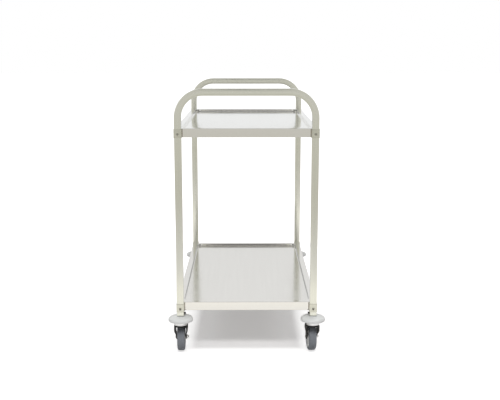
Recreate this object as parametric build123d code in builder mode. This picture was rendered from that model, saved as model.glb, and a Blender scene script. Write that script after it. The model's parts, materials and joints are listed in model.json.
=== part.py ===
"""Two-tier stainless steel service trolley on four swivel casters.

Millimetres, +Z up, origin on the floor under the middle of the trolley.
X runs across the trolley, Y along it; the front end frame is on the -Y side.
"""
import os
from math import sqrt

from build123d import *

# End frames, each one bent square tube
frame_width = 500.0
frame_length = 950.0
handle_height = 950.0
tube = 25.0
tube_wall = 1.2
tube_corner = 2.0
bend_radius = 100.0

# Trays, pressed from one sheet
leg_above_rim = 38.2
lower_tray_rise = 14.4
tray_setback = 1.0
tray_corner = 2.0
rim_width = 22.0
rim_edge_radius = 1.5
rim_lip_radius = 2.0
skirt_height = 31.0
hem_width = 8.0
sheet = 1.0
well_depth = 9.5
well_corner = 24.0
well_floor_radius = 5.0

# Hat-section stiffeners under each tray
stiffener_width = 32.0
stiffener_flange = 10.0
stiffener_depth = 8.0
stiffener_spacing = 420.0
stiffener_end_gap = 12.0

# Leg brackets and the bolts that hold trays to legs
bracket_sheet = 1.2
bracket_fit = 0.1
bolt_radius = 3.0
bolt_clearance = 0.3
bolt_rise = 12.2
bolt_head_radius = 5.2
bolt_head_height = 3.2
head_round_ratio = 0.6
bolt_socket_across = 4.0
bolt_socket_depth = 2.0
nut_across = 10.0
nut_height = 5.0
thread_clearance = 0.05
thread_past_nut = 2.0

# Wheels
wheel_diameter = 100.0
wheel_width = 28.0
tyre_depth = 9.0
tyre_shoulder = 5.0
core_rim_depth = 5.0
core_rim_width = 24.0
core_web = 14.0
core_boss_radius = 10.5
core_rib = 3.0
core_ribs = 8
moulding_gap = 0.02

# Axles
axle_radius = 4.0
sleeve_radius = 6.0
running_clearance = 0.1
end_clearance = 0.3
axle_head_radius = 7.0
axle_head_height = 3.0
axle_nut_across = 13.0
axle_nut_height = 6.5
axle_past_nut = 2.0

# Forks
trail = 33.0
wheel_side_gap = 2.0
wheel_top_gap = 2.5
fork_half_width = 25.0
fork_foot_wall = 2.5
fork_foot_radius = 10.0
fork_arm = 6.0
fork_shoulder_height = 16.0
fork_bend_radius = 30.0
crown_thickness = 4.5
crown_corner = 8.0
slot_corner = 6.0

# Swivel heads and stems
race_gap = 0.3
bearing_height = 10.0
bearing_inner_radius = 11.0
bearing_edge_radius = 2.0
cup_radius = 24.0
cup_wall = 2.5
cup_roof = 4.0
cup_lift = 1.5
cup_edge_radius = 1.5
kingpin_radius = 5.0
rivet_radius = 9.0
rivet_height = 4.0
stem_radius = 5.5
stem_tip_gap = 1.5
stem_fit = 0.1

# Bumper discs
bumper_radius = 44.0
bumper_height = 20.0
bumper_lift = 1.0
bumper_band = 10.0
bumper_edge_radius = 4.0
bumper_bulge = 1.6
bumper_seat_margin = 1.5
bumper_wall = 3.0
bumper_rib = 2.5
bumper_ribs = 8

# Leg sockets and the screws that lock the stems in them
socket_fit = 0.1
socket_bolt_gap = 2.0
lock_rise = 9.0
lock_radius = 2.0
lock_head_radius = 3.5
lock_head_height = 6.0
lock_tip_gap = 0.2

# Brakes of the two rear casters
brake_setback = 13.0
brake_rise = 3.5
brake_pin_radius = 2.5
brake_pin_head_radius = 4.0
brake_pin_head_height = 1.5
brake_ear_radius = 6.5
brake_barrel_radius = 4.5
brake_side_gap = 0.5
brake_lever_half_width = 11.0
brake_lever_reach = 49.0
brake_lever_drop = 14.0
brake_toe_radius = 2.5
brake_toe_length = 14.0
brake_toe_half_width = 17.0
brake_shoe_angle = 52.0
brake_shoe_gap = 3.5
brake_shoe_width = 14.0
brake_shoe_height = 10.0

# The angle that each caster is turned about its stem at rest
turn_angles = {
    "front_left": 2.0,
    "front_right": 5.0,
    "rear_left": 180.0,
    "rear_right": 180.0,
}
braked_corners = ("rear_left", "rear_right")

# Heights of the caster's parts, built up from the floor
wheel_radius = wheel_diameter / 2
crown_under = wheel_diameter + wheel_top_gap
crown_top = crown_under + crown_thickness
bearing_bottom = crown_top + race_gap
cup_under = bearing_bottom + bearing_height + race_gap
cup_top = cup_under + cup_roof
leg_bottom = cup_top + bumper_height

# Rim height of each tray above the floor
upper_rim_height = handle_height - bend_radius - leg_above_rim
lower_rim_height = leg_bottom + lower_tray_rise + skirt_height
trays = {"upper": upper_rim_height, "lower": lower_rim_height}

# Each corner's side across the trolley, its end along it, and its caster's angle
corners = {
    corner: (-1 if "left" in corner else 1, -1 if "front" in corner else 1, angle)
    for corner, angle in turn_angles.items()
}

# Places shared by several pieces
leg_x = (frame_width - tube) / 2
leg_y = (frame_length - tube) / 2
bumper_hole = stem_radius + stem_fit
bumper_seat = tube / sqrt(2) + bumper_seat_margin
band_bottom = cup_top + bumper_lift
band_top = band_bottom + bumper_band
tray_width = frame_width - 2 * tray_setback
tray_length = frame_length - 2 * tube
tray_end = tray_length / 2
bracket_face = frame_length / 2 + bracket_fit + bracket_sheet
socket_height = lower_tray_rise + bolt_rise - bolt_radius - socket_bolt_gap
stem_top = leg_bottom + socket_height - stem_tip_gap
slot_half_width = wheel_width / 2 + wheel_side_gap
foot_half_width = slot_half_width + fork_foot_wall
arm_inside = fork_half_width - fork_arm
core_radius = wheel_radius - tyre_depth
brake_pivot_y = trail + brake_setback
brake_pivot_z = crown_under + brake_rise
axle_axis = Axis((0, trail, wheel_radius), (1, 0, 0))
axle_plane = Plane(origin=(0, trail, wheel_radius), x_dir=(0, 1, 0), z_dir=(1, 0, 0))

os.makedirs("parts", exist_ok=True)


def save(part, name):
    """Label one finished piece and write it to its own file."""
    part.label = name
    export_step(part, f"parts/{name}.step")


def end_plane(x, y, z, side):
    """A plane on an end of the trolley whose normal points outwards along Y."""
    return Plane(origin=(x, y, z), x_dir=(1, 0, 0), z_dir=(0, side, 0))


def bolt_height(rim_height):
    return rim_height - skirt_height + bolt_rise


def end_frame(side):
    """Inverted U of square tube: two legs and the push handle in one bend."""
    y = side * leg_y
    top = handle_height - tube / 2
    with BuildPart() as frame:
        with BuildLine(Plane.XZ.offset(-y)) as path:
            FilletPolyline(
                (-leg_x, leg_bottom),
                (-leg_x, top),
                (leg_x, top),
                (leg_x, leg_bottom),
                radius=bend_radius - tube / 2,
            )
        with BuildSketch(Plane.XY.offset(leg_bottom)):
            with Locations((-leg_x, y)):
                RectangleRounded(tube, tube, tube_corner)
                bore = tube - 2 * tube_wall
                bore_corner = max(tube_corner - tube_wall, tube_corner / 4)
                RectangleRounded(bore, bore, bore_corner, mode=Mode.SUBTRACT)
        sweep(path=path.line)
        # Bolt holes run lengthwise through both walls of each leg
        with BuildSketch(Plane.XZ.offset(-y)):
            for rim_height in trays.values():
                with Locations((-leg_x, bolt_height(rim_height)), (leg_x, bolt_height(rim_height))):
                    Circle(bolt_radius + bolt_clearance)
        extrude(amount=tube, both=True, mode=Mode.SUBTRACT)
        # Lock screw holes go through the inner wall of each leg only
        for hand in (-1, 1):
            inner_wall = Plane(
                origin=(hand * (leg_x - tube / 2), y, leg_bottom + lock_rise),
                x_dir=(0, 1, 0),
                z_dir=(hand, 0, 0),
            )
            with BuildSketch(inner_wall):
                Circle(lock_radius + bolt_clearance)
            extrude(amount=tube / 2, mode=Mode.SUBTRACT)
    return frame.part


def tray(rim_height):
    """Pressed tray: flat deck, shallow well, flat rim, skirt with a turned-in hem."""
    bottom = rim_height - skirt_height
    well_width = tray_width - 2 * rim_width
    well_length = tray_length - 2 * rim_width
    with BuildPart() as pan:
        with BuildSketch(Plane.XY.offset(bottom)):
            RectangleRounded(tray_width, tray_length, tray_corner)
        extrude(amount=skirt_height)
        fillet(pan.faces().sort_by(Axis.Z)[-1].edges(), rim_edge_radius)
        with BuildSketch(Plane.XY.offset(rim_height)):
            RectangleRounded(well_width, well_length, well_corner)
        extrude(amount=-well_depth, mode=Mode.SUBTRACT)
        deck = pan.faces().filter_by(Axis.Z).sort_by(Axis.Z)[-2]
        fillet(deck.edges(), well_floor_radius)
        rim = pan.faces().filter_by(Axis.Z).sort_by(Axis.Z)[-1]
        fillet(rim.inner_wires()[0].edges(), rim_lip_radius)
        # The whole form is one sheet thick and open underneath
        offset(amount=-sheet, openings=pan.faces().sort_by(Axis.Z)[0])
        with BuildSketch(Plane.XY.offset(bottom)):
            RectangleRounded(tray_width, tray_length, tray_corner)
            Rectangle(tray_width - 2 * hem_width, tray_length - 2 * hem_width, mode=Mode.SUBTRACT)
        extrude(amount=sheet)
        with BuildSketch(Plane.XZ):
            with Locations((-leg_x, bolt_height(rim_height)), (leg_x, bolt_height(rim_height))):
                Circle(bolt_radius + bolt_clearance)
        extrude(amount=tray_length, both=True, mode=Mode.SUBTRACT)
    return pan.part


def stiffeners(rim_height):
    """Two hat sections across the underside of a deck, flanges up against the sheet."""
    deck_under = rim_height - well_depth - sheet
    length = tray_width - 2 * (rim_width + well_floor_radius + stiffener_end_gap)
    with BuildPart() as hats:
        with BuildSketch(Plane.YZ):
            for y in (-stiffener_spacing / 2, stiffener_spacing / 2):
                with Locations((y, deck_under)):
                    Rectangle(
                        stiffener_width + 2 * stiffener_flange, sheet, align=(Align.CENTER, Align.MAX)
                    )
                    Rectangle(stiffener_width, stiffener_depth, align=(Align.CENTER, Align.MAX))
                    Rectangle(
                        stiffener_width - 2 * sheet,
                        stiffener_depth - sheet,
                        align=(Align.CENTER, Align.MAX),
                        mode=Mode.SUBTRACT,
                    )
        extrude(amount=length / 2, both=True)
    return hats.part


def leg_bracket(hand, side, rim_height):
    """U of sheet round the outer three faces of a leg, as tall as the tray's skirt."""
    inner = tube + 2 * bracket_fit
    outer = inner + 2 * bracket_sheet
    corner = tube_corner + bracket_fit
    bottom = rim_height - skirt_height
    with BuildPart() as bracket:
        with BuildSketch(Plane(origin=(hand * leg_x, side * leg_y, bottom))):
            RectangleRounded(outer, outer, corner + bracket_sheet)
            RectangleRounded(inner, inner, corner, mode=Mode.SUBTRACT)
            with Locations((0, -side * tube)):
                Rectangle(2 * tube, tube, mode=Mode.SUBTRACT)
        extrude(amount=skirt_height)
        with BuildSketch(end_plane(hand * leg_x, side * leg_y, bolt_height(rim_height), side)):
            Circle(bolt_radius + bolt_clearance)
        extrude(amount=tube, mode=Mode.SUBTRACT)
    return bracket.part


def bolt_places():
    """Where the eight tray bolts cross the outer faces of the leg brackets."""
    for rim_height in trays.values():
        for side in (-1, 1):
            for hand in (-1, 1):
                yield hand * leg_x, side, bolt_height(rim_height)


def tray_bolts():
    """Button-head bolts through bracket, leg and tray end."""
    nut_seat = tray_end - sheet
    length = bracket_face - nut_seat + nut_height + thread_past_nut
    with BuildPart() as bolts:
        for x, side, z in bolt_places():
            seat = end_plane(x, side * bracket_face, z, side)
            with BuildSketch(seat):
                Circle(bolt_radius)
            extrude(amount=-length)
            with BuildSketch(seat):
                Circle(bolt_head_radius)
            extrude(amount=bolt_head_height)
            crown = bolts.faces().sort_by_distance(seat.offset(bolt_head_height).origin)[0]
            fillet(crown.edges(), bolt_head_height * head_round_ratio)
            with BuildSketch(seat.offset(bolt_head_height)):
                RegularPolygon(bolt_socket_across / 2, 6, major_radius=False)
            extrude(amount=-bolt_socket_depth, mode=Mode.SUBTRACT)
    return bolts.part


def tray_nuts():
    """Hexagon nuts inside the folded ends of the trays."""
    with BuildPart() as nuts:
        for x, side, z in bolt_places():
            with BuildSketch(end_plane(x, side * (tray_end - sheet), z, side)):
                RegularPolygon(nut_across / 2, 6, major_radius=False, rotation=30)
                Circle(bolt_radius + thread_clearance, mode=Mode.SUBTRACT)
            extrude(amount=-nut_height)
    return nuts.part


def stem_sockets():
    """Square plugs in the leg ends, bored for the caster stems."""
    across = tube - 2 * tube_wall - 2 * socket_fit
    corner = max(tube_corner - tube_wall, tube_corner / 4)
    with BuildPart() as sockets:
        for hand, side, _ in corners.values():
            with BuildSketch(Plane(origin=(hand * leg_x, side * leg_y, leg_bottom))):
                RectangleRounded(across, across, corner)
                Circle(stem_radius + stem_fit, mode=Mode.SUBTRACT)
            extrude(amount=socket_height)
        with BuildSketch(Plane.YZ):
            with Locations((-leg_y, leg_bottom + lock_rise), (leg_y, leg_bottom + lock_rise)):
                Circle(lock_radius + thread_clearance)
        extrude(amount=leg_x - stem_radius, both=True, mode=Mode.SUBTRACT)
    return sockets.part


def stem_lock_screws():
    """Cap screws through the inner wall of each leg, up to the stem."""
    reach = tube / 2 - stem_radius - lock_tip_gap
    with BuildPart() as screws:
        for hand, side, _ in corners.values():
            seat = Plane(
                origin=(hand * (leg_x - tube / 2), side * leg_y, leg_bottom + lock_rise),
                x_dir=(0, 1, 0),
                z_dir=(hand, 0, 0),
            )
            with BuildSketch(seat):
                Circle(lock_radius)
            extrude(amount=reach)
            with BuildSketch(seat):
                Circle(lock_head_radius)
            extrude(amount=-lock_head_height)
    return screws.part


def bumper_pockets():
    """The hollow under a bumper disc, left in sectors by the ribs between them."""
    hub = bumper_hole + bumper_wall
    inside = bumper_radius - bumper_wall
    with BuildPart() as pockets:
        with BuildSketch(Plane.XZ):
            with BuildLine():
                Polyline(
                    (hub, cup_top),
                    (inside, cup_top),
                    (inside, band_top - bumper_wall),
                    (bumper_seat, leg_bottom - bumper_wall),
                    (hub, leg_bottom - bumper_wall),
                    close=True,
                )
            make_face()
        revolve(axis=Axis.Z)
        with BuildSketch(Plane.XY.offset(cup_top)):
            with PolarLocations(bumper_radius / 2, bumper_ribs):
                Rectangle(bumper_radius, bumper_rib)
        extrude(amount=bumper_height, mode=Mode.SUBTRACT)
    return pockets.part


def bumper_disc():
    """Domed moulding between leg and swivel head that meets walls before the frame does."""
    dome_middle = ((bumper_radius + bumper_seat) / 2, (band_top + leg_bottom) / 2 + bumper_bulge)
    pockets = bumper_pockets()
    with BuildPart() as disc:
        with BuildSketch(Plane.XZ) as section:
            with BuildLine():
                Polyline(
                    (bumper_seat, leg_bottom),
                    (bumper_hole, leg_bottom),
                    (bumper_hole, cup_top),
                    (cup_radius, cup_top),
                    (bumper_radius, band_bottom),
                    (bumper_radius, band_top),
                )
                ThreePointArc((bumper_radius, band_top), dome_middle, (bumper_seat, leg_bottom))
            make_face()
            fillet(section.vertices().group_by(Axis.X)[-1], bumper_edge_radius)
        revolve(axis=Axis.Z)
        add(pockets, mode=Mode.SUBTRACT)
    return disc.part


def caster_stem():
    """Stem, bearing cup and kingpin in one turned piece, riveted under the fork."""
    skirt = crown_top + cup_lift
    rivet = crown_under - race_gap
    with BuildPart() as stem:
        with BuildSketch(Plane.XZ):
            with BuildLine():
                Polyline(
                    (0, stem_top),
                    (stem_radius, stem_top),
                    (stem_radius, cup_top),
                    (cup_radius, cup_top),
                    (cup_radius, skirt),
                    (cup_radius - cup_wall, skirt),
                    (cup_radius - cup_wall, cup_under),
                    (kingpin_radius, cup_under),
                    (kingpin_radius, rivet),
                    (rivet_radius, rivet),
                    (rivet_radius, rivet - rivet_height),
                    (0, rivet - rivet_height),
                    close=True,
                )
            make_face()
        revolve(axis=Axis.Z)
        rounds = stem.edges().filter_by(GeomType.CIRCLE)
        fillet(rounds.filter_by_position(Axis.Z, cup_top, cup_top).sort_by(SortBy.RADIUS)[-1], cup_edge_radius)
    return stem.part


def swivel_bearing():
    """Caged ball race between cup and crown, drawn as its ring."""
    outer = cup_radius - cup_wall - end_clearance
    with BuildPart() as bearing:
        with BuildSketch(Plane.XZ):
            with Locations(((bearing_inner_radius + outer) / 2, bearing_bottom + bearing_height / 2)):
                RectangleRounded(outer - bearing_inner_radius, bearing_height, bearing_edge_radius)
        revolve(axis=Axis.Z)
    return bearing.part


def fork(braked):
    """Fork: round crown under the cup, two arms that lean back and taper to the axle."""
    foot_bottom = wheel_radius - fork_foot_radius
    foot_top = wheel_radius + fork_foot_radius + fork_foot_wall
    shoulder = crown_under - fork_shoulder_height
    with BuildPart() as yoke:
        # Seen from the side, crown and axle boss joined by straight edges
        with BuildSketch(Plane.YZ):
            with Locations((0, crown_under)):
                Rectangle(2 * fork_half_width, crown_thickness, align=(Align.CENTER, Align.MIN))
            with Locations((trail, wheel_radius)):
                Circle(fork_foot_radius)
            make_hull()
        extrude(amount=fork_half_width, both=True)
        # Seen along the direction of travel, bent arms that close in on the wheel towards the axle
        with BuildSketch(Plane.XY, mode=Mode.PRIVATE) as slot:
            with BuildLine():
                Polyline(
                    (-slot_half_width, 0),
                    (-slot_half_width, foot_top),
                    (-arm_inside, shoulder),
                    (-arm_inside, crown_under),
                    (arm_inside, crown_under),
                    (arm_inside, shoulder),
                    (slot_half_width, foot_top),
                    (slot_half_width, 0),
                    close=True,
                )
            make_face()
            fillet(slot.vertices().filter_by_position(Axis.Y, foot_top, shoulder), fork_bend_radius)
            fillet(slot.vertices().group_by(Axis.Y)[-1], slot_corner)
        with BuildSketch(Plane.XZ) as front:
            with BuildLine():
                Polyline(
                    (-foot_half_width, foot_bottom),
                    (-foot_half_width, foot_top),
                    (-fork_half_width, shoulder),
                    (-fork_half_width, crown_top),
                    (fork_half_width, crown_top),
                    (fork_half_width, shoulder),
                    (foot_half_width, foot_top),
                    (foot_half_width, foot_bottom),
                    close=True,
                )
            make_face()
            fillet(front.vertices().filter_by_position(Axis.Y, foot_top, shoulder), fork_bend_radius)
            fillet(front.vertices().group_by(Axis.Y)[-1], crown_corner)
            add(slot.sketch, mode=Mode.SUBTRACT)
        extrude(amount=wheel_diameter, both=True, mode=Mode.INTERSECT)
        # Seen from above, a round nose
        with BuildSketch(Plane.XY.offset(foot_bottom)):
            Circle(fork_half_width)
            with Locations((0, trail)):
                Rectangle(2 * fork_half_width, 2 * fork_foot_radius)
            make_hull()
        extrude(amount=crown_top - foot_bottom, mode=Mode.INTERSECT)
        if braked:
            # Ears behind the crown carry the brake's pivot pin
            for start in (arm_inside, -fork_half_width):
                with BuildSketch(Plane.YZ.offset(start)):
                    with Locations((0, crown_under)):
                        Rectangle(fork_half_width, crown_thickness, align=(Align.MIN, Align.MAX))
                    with Locations((brake_pivot_y, brake_pivot_z)):
                        Circle(brake_ear_radius)
                    make_hull()
                extrude(amount=fork_arm)
            with BuildSketch(Plane.YZ):
                with Locations((brake_pivot_y, brake_pivot_z)):
                    Circle(brake_pin_radius + thread_clearance)
            extrude(amount=fork_half_width, both=True, mode=Mode.SUBTRACT)
        with BuildSketch(Plane.XY.offset(crown_under)):
            Circle(kingpin_radius + running_clearance)
        extrude(amount=crown_thickness, mode=Mode.SUBTRACT)
        with BuildSketch(axle_plane):
            Circle(axle_radius + thread_clearance)
        extrude(amount=fork_half_width, both=True, mode=Mode.SUBTRACT)
    return yoke.part


def axle_bolt():
    """Round-head bolt through both arms of the fork."""
    seat = axle_plane.offset(-foot_half_width)
    length = 2 * foot_half_width + axle_nut_height + axle_past_nut
    with BuildPart() as bolt:
        with BuildSketch(seat):
            Circle(axle_radius)
        extrude(amount=length)
        with BuildSketch(seat):
            Circle(axle_head_radius)
        extrude(amount=-axle_head_height)
        fillet(bolt.faces().sort_by(Axis.X)[0].edges(), axle_head_height * head_round_ratio)
    return bolt.part


def axle_nut():
    with BuildPart() as nut:
        with BuildSketch(axle_plane.offset(foot_half_width)):
            RegularPolygon(axle_nut_across / 2, 6, major_radius=False)
            Circle(axle_radius + thread_clearance, mode=Mode.SUBTRACT)
        extrude(amount=axle_nut_height)
    return nut.part


def axle_sleeve():
    """Steel tube clamped between the arms, which the wheel turns on."""
    with BuildPart() as sleeve:
        with BuildSketch(axle_plane):
            Circle(sleeve_radius)
            Circle(axle_radius + thread_clearance, mode=Mode.SUBTRACT)
        extrude(amount=slot_half_width, both=True)
    return sleeve.part


def wheel_core():
    """Moulded core: boss, web and rim, with radial ribs on both sides of the web."""
    bore = sleeve_radius + running_clearance
    rim_inside = core_radius - core_rim_depth
    boss_width = 2 * (slot_half_width - end_clearance)
    with BuildPart() as core:
        for inside, outside, width in (
            (bore, core_boss_radius, boss_width),
            (bore, core_radius - moulding_gap, core_web),
            (rim_inside, core_radius - moulding_gap, core_rim_width),
        ):
            with BuildSketch(axle_plane):
                Circle(outside)
                Circle(inside, mode=Mode.SUBTRACT)
            extrude(amount=width / 2, both=True)
        with BuildSketch(axle_plane):
            middle = (core_boss_radius + rim_inside) / 2
            with PolarLocations(middle, core_ribs):
                Rectangle(rim_inside - core_boss_radius + core_rib, core_rib)
        extrude(amount=(core_rim_width / 2 - core_rib), both=True)
    return core.part


def tyre():
    """Solid rubber tread moulded on the core, with rounded shoulders."""
    with BuildPart() as tread:
        with BuildSketch(Plane.XZ.offset(-trail)) as section:
            with Locations((0, wheel_diameter)):
                Rectangle(wheel_width, tyre_depth, align=(Align.CENTER, Align.MAX))
            fillet(section.vertices().group_by(Axis.Y)[-1], tyre_shoulder)
        revolve(axis=axle_axis)
    return tread.part


def brake_pedal():
    """Moulded lever over the wheel: barrel on its pin, shoe above the tread, wide toe."""
    toe = (brake_pivot_y + brake_lever_reach, brake_pivot_z - brake_lever_drop)
    slope = brake_lever_drop / brake_lever_reach
    toe_heel = (toe[0] - brake_toe_length, toe[1] + brake_toe_length * slope)
    with BuildPart() as pedal:
        with BuildSketch(Plane.YZ):
            with Locations((brake_pivot_y, brake_pivot_z)):
                Circle(brake_barrel_radius)
            with Locations(toe):
                Circle(brake_toe_radius)
            make_hull()
        extrude(amount=brake_lever_half_width, both=True)
        with BuildSketch(Plane.YZ):
            with Locations((trail, wheel_radius)):
                with PolarLocations(
                    wheel_radius + brake_shoe_gap + brake_shoe_height / 2, 1, start_angle=brake_shoe_angle
                ):
                    Rectangle(brake_shoe_height, brake_shoe_width)
                Circle(wheel_radius + brake_shoe_gap, mode=Mode.SUBTRACT)
        extrude(amount=brake_lever_half_width, both=True)
        with BuildSketch(Plane.YZ):
            with Locations(toe, toe_heel):
                Circle(brake_toe_radius)
            make_hull()
        extrude(amount=brake_toe_half_width, both=True)
        with BuildSketch(Plane.YZ):
            with Locations((brake_pivot_y, brake_pivot_z)):
                Circle(brake_barrel_radius)
        extrude(amount=arm_inside - brake_side_gap, both=True)
        with BuildSketch(Plane.YZ):
            with Locations((brake_pivot_y, brake_pivot_z)):
                Circle(brake_pin_radius + running_clearance)
        extrude(amount=arm_inside, both=True, mode=Mode.SUBTRACT)
    return pedal.part


def brake_pin():
    """Rivet through the two ears of a braked fork."""
    pivot = Plane(origin=(0, brake_pivot_y, brake_pivot_z), x_dir=(0, 1, 0), z_dir=(1, 0, 0))
    with BuildPart() as pin:
        with BuildSketch(pivot):
            Circle(brake_pin_radius)
        extrude(amount=fork_half_width, both=True)
        for direction in (-1, 1):
            with BuildSketch(pivot.offset(direction * fork_half_width)):
                Circle(brake_pin_head_radius)
            extrude(amount=direction * brake_pin_head_height)
    return pin.part


# The fixed cart
save(end_frame(-1), "front_end_frame")
save(end_frame(1), "rear_end_frame")
for tier, rim_height in trays.items():
    save(tray(rim_height), f"{tier}_tray")
    save(stiffeners(rim_height), f"{tier}_tray_stiffeners")
    for corner, (hand, side, _) in corners.items():
        save(leg_bracket(hand, side, rim_height), f"{tier}_bracket_{corner}")
save(tray_bolts(), "tray_bolts")
save(tray_nuts(), "tray_nuts")
save(stem_sockets(), "stem_sockets")
save(stem_lock_screws(), "stem_lock_screws")

# The casters, modelled once about their own stem and then set in the four corners
plain_caster = {
    "bumper_disc": bumper_disc(),
    "caster_stem": caster_stem(),
    "swivel_bearing": swivel_bearing(),
    "fork": fork(braked=False),
    "axle_bolt": axle_bolt(),
    "axle_nut": axle_nut(),
    "axle_sleeve": axle_sleeve(),
    "wheel_core": wheel_core(),
    "tyre": tyre(),
}
braked_caster = plain_caster | {
    "fork": fork(braked=True),
    "brake_pedal": brake_pedal(),
    "brake_pin": brake_pin(),
}
for corner, (hand, side, turn) in corners.items():
    place = Location((hand * leg_x, side * leg_y, 0), (0, 0, turn))
    caster = braked_caster if corner in braked_corners else plain_caster
    for piece, part in caster.items():
        save(part.moved(place), f"{piece}_{corner}")
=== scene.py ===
import json
import math

import bmesh
import bpy
from mathutils import Matrix, Vector


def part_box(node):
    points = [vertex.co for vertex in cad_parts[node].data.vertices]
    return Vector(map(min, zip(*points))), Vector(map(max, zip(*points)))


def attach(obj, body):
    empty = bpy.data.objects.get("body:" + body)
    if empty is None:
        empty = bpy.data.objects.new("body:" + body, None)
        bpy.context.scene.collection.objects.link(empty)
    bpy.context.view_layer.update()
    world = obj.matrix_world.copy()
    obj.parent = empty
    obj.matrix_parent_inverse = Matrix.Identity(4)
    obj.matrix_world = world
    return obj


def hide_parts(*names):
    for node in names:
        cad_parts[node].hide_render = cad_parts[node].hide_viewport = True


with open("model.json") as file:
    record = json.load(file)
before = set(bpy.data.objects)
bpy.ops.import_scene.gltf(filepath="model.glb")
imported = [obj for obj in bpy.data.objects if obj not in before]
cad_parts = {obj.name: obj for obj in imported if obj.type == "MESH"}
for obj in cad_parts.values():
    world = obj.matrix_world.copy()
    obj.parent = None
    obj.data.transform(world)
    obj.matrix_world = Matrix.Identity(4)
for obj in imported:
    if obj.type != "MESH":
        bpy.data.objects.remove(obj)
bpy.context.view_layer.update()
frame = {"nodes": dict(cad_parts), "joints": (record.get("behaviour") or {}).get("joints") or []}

# End frames. Each is one length of 25 mm square stainless tube, bent twice on a former to an
# inverted U, so that both legs and the push handle are one piece, and linished lengthwise to
# a warm satin. The leg ends stay open for the caster sockets.
tube_wall = 0.0012
tube_corner = 0.002
tube_corner_steps = 4
tube_crown = 0.0003
flat_cuts = 5
bend_outer = 0.100
bend_steps = 24
crease_angle = math.radians(35)
flat_weight = 90
scratch_pitch = (9, 1100, 1100)
streak_pitch = (3, 160, 160)
streak_share = 0.4
grain_height = 0.0001
satin_depth = 0.40
satin_light = (0.835, 0.84, 0.77, 1.0)
satin_dark = (0.775, 0.78, 0.71, 1.0)


def fill(tree, node, sockets):
    """Link or set a shader node's inputs."""
    for name, value in sockets.items():
        if isinstance(value, bpy.types.NodeSocket):
            tree.links.new(value, node.inputs[name])
        else:
            node.inputs[name].default_value = value


def add_node(tree, kind, sockets=None, **options):
    """Add a shader node, set its options and fill its inputs."""
    made = tree.nodes.new("ShaderNode" + kind)
    for option, value in options.items():
        setattr(made, option, value)
    fill(tree, made, sockets or {})
    return made


def mix_colours(tree, share, first, second):
    """Pass from one colour to another as the share goes from none to all."""
    return add_node(tree, "Mix", {0: share, 6: first, 7: second}, data_type="RGBA").outputs[2]


def new_group(name, inputs, outputs):
    """An empty shader group with named sockets, and its input and output nodes."""
    group = bpy.data.node_groups.new(name, "ShaderNodeTree")
    for label, kind in inputs.items():
        group.interface.new_socket(label, in_out="INPUT", socket_type="NodeSocket" + kind)
    for label, kind in outputs.items():
        group.interface.new_socket(label, in_out="OUTPUT", socket_type="NodeSocket" + kind)
    return group, group.nodes.new("NodeGroupInput").outputs, group.nodes.new("NodeGroupOutput")


def new_material(name):
    """A material, its node tree, its shader node and the place on the piece."""
    material = bpy.data.materials.new(name)
    material.use_nodes = True
    tree = material.node_tree
    place = add_node(tree, "TexCoord").outputs["Object"]
    return material, tree, tree.nodes["Principled BSDF"], place


# Fine parallel scratches of a linishing belt, drawn out along the vector's X
linished, inlet, outlet = new_group(
    "linished", {"Vector": "Vector"}, {"Tone": "Float", "Height": "Float"}
)
drawn_out = []
for pitch, detail in ((scratch_pitch, 3.0), (streak_pitch, 2.0)):
    scaled = add_node(linished, "VectorMath", {0: inlet["Vector"], 1: pitch}, operation="MULTIPLY")
    noise = add_node(
        linished, "TexNoise", {"Vector": scaled.outputs[0], "Scale": 1.0, "Detail": detail}
    )
    drawn_out.append(noise.outputs["Fac"])
scratches, streaks = drawn_out
tone = add_node(linished, "Mix", {0: streak_share, 2: scratches, 3: streaks}, data_type="FLOAT")
contrast = add_node(
    linished, "MapRange", {"Value": tone.outputs[0], "From Min": 0.36, "From Max": 0.64}
)
fill(linished, outlet, {"Tone": contrast.outputs["Result"], "Height": scratches})

# Hand marks and wiping smears, which dull a bright surface in broad patches
handled, inlet, outlet = new_group(
    "handled", {"Vector": "Vector", "Clean": "Float", "Marked": "Float"}, {"Roughness": "Float"}
)
smears = add_node(
    handled,
    "TexNoise",
    {"Vector": inlet["Vector"], "Scale": 11.0, "Detail": 5.0, "Roughness": 0.62, "Distortion": 0.5},
)
patches = add_node(
    handled,
    "MapRange",
    {
        "Value": smears.outputs["Fac"],
        "From Min": 0.38,
        "From Max": 0.72,
        "To Min": inlet["Clean"],
        "To Max": inlet["Marked"],
    },
)
fill(handled, outlet, {"Roughness": patches.outputs["Result"]})


def wiped(tree, place, clean, marked):
    """The roughness of a surface with hand marks on it."""
    sockets = {"Vector": place, "Clean": clean, "Marked": marked}
    return add_node(tree, "Group", sockets, node_tree=handled).outputs["Roughness"]


def relief(tree, strength, distance, height, **under):
    """The slopes that a height gives a surface, on top of others where they are named."""
    sockets = {"Strength": strength, "Distance": distance, "Height": height, **under}
    return add_node(tree, "Bump", sockets).outputs["Normal"]


def grained_steel(name, light, dark, clean, marked, depth=0.05, follows=""):
    """Steel with dull patches and a fine grain, along X or along the attribute that it follows."""
    material, tree, shader, place = new_material(name)
    grain = place
    if follows:
        grain = add_node(tree, "Attribute", attribute_name=follows).outputs["Vector"]
    marks = add_node(tree, "Group", {"Vector": grain}, node_tree=linished).outputs
    surface = {
        "Metallic": 1.0,
        "Base Color": mix_colours(tree, marks["Tone"], dark, light),
        "Roughness": wiped(tree, place, clean, marked),
        "Normal": relief(tree, depth, grain_height, marks["Height"]),
    }
    fill(tree, shader, surface)
    return material


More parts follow.
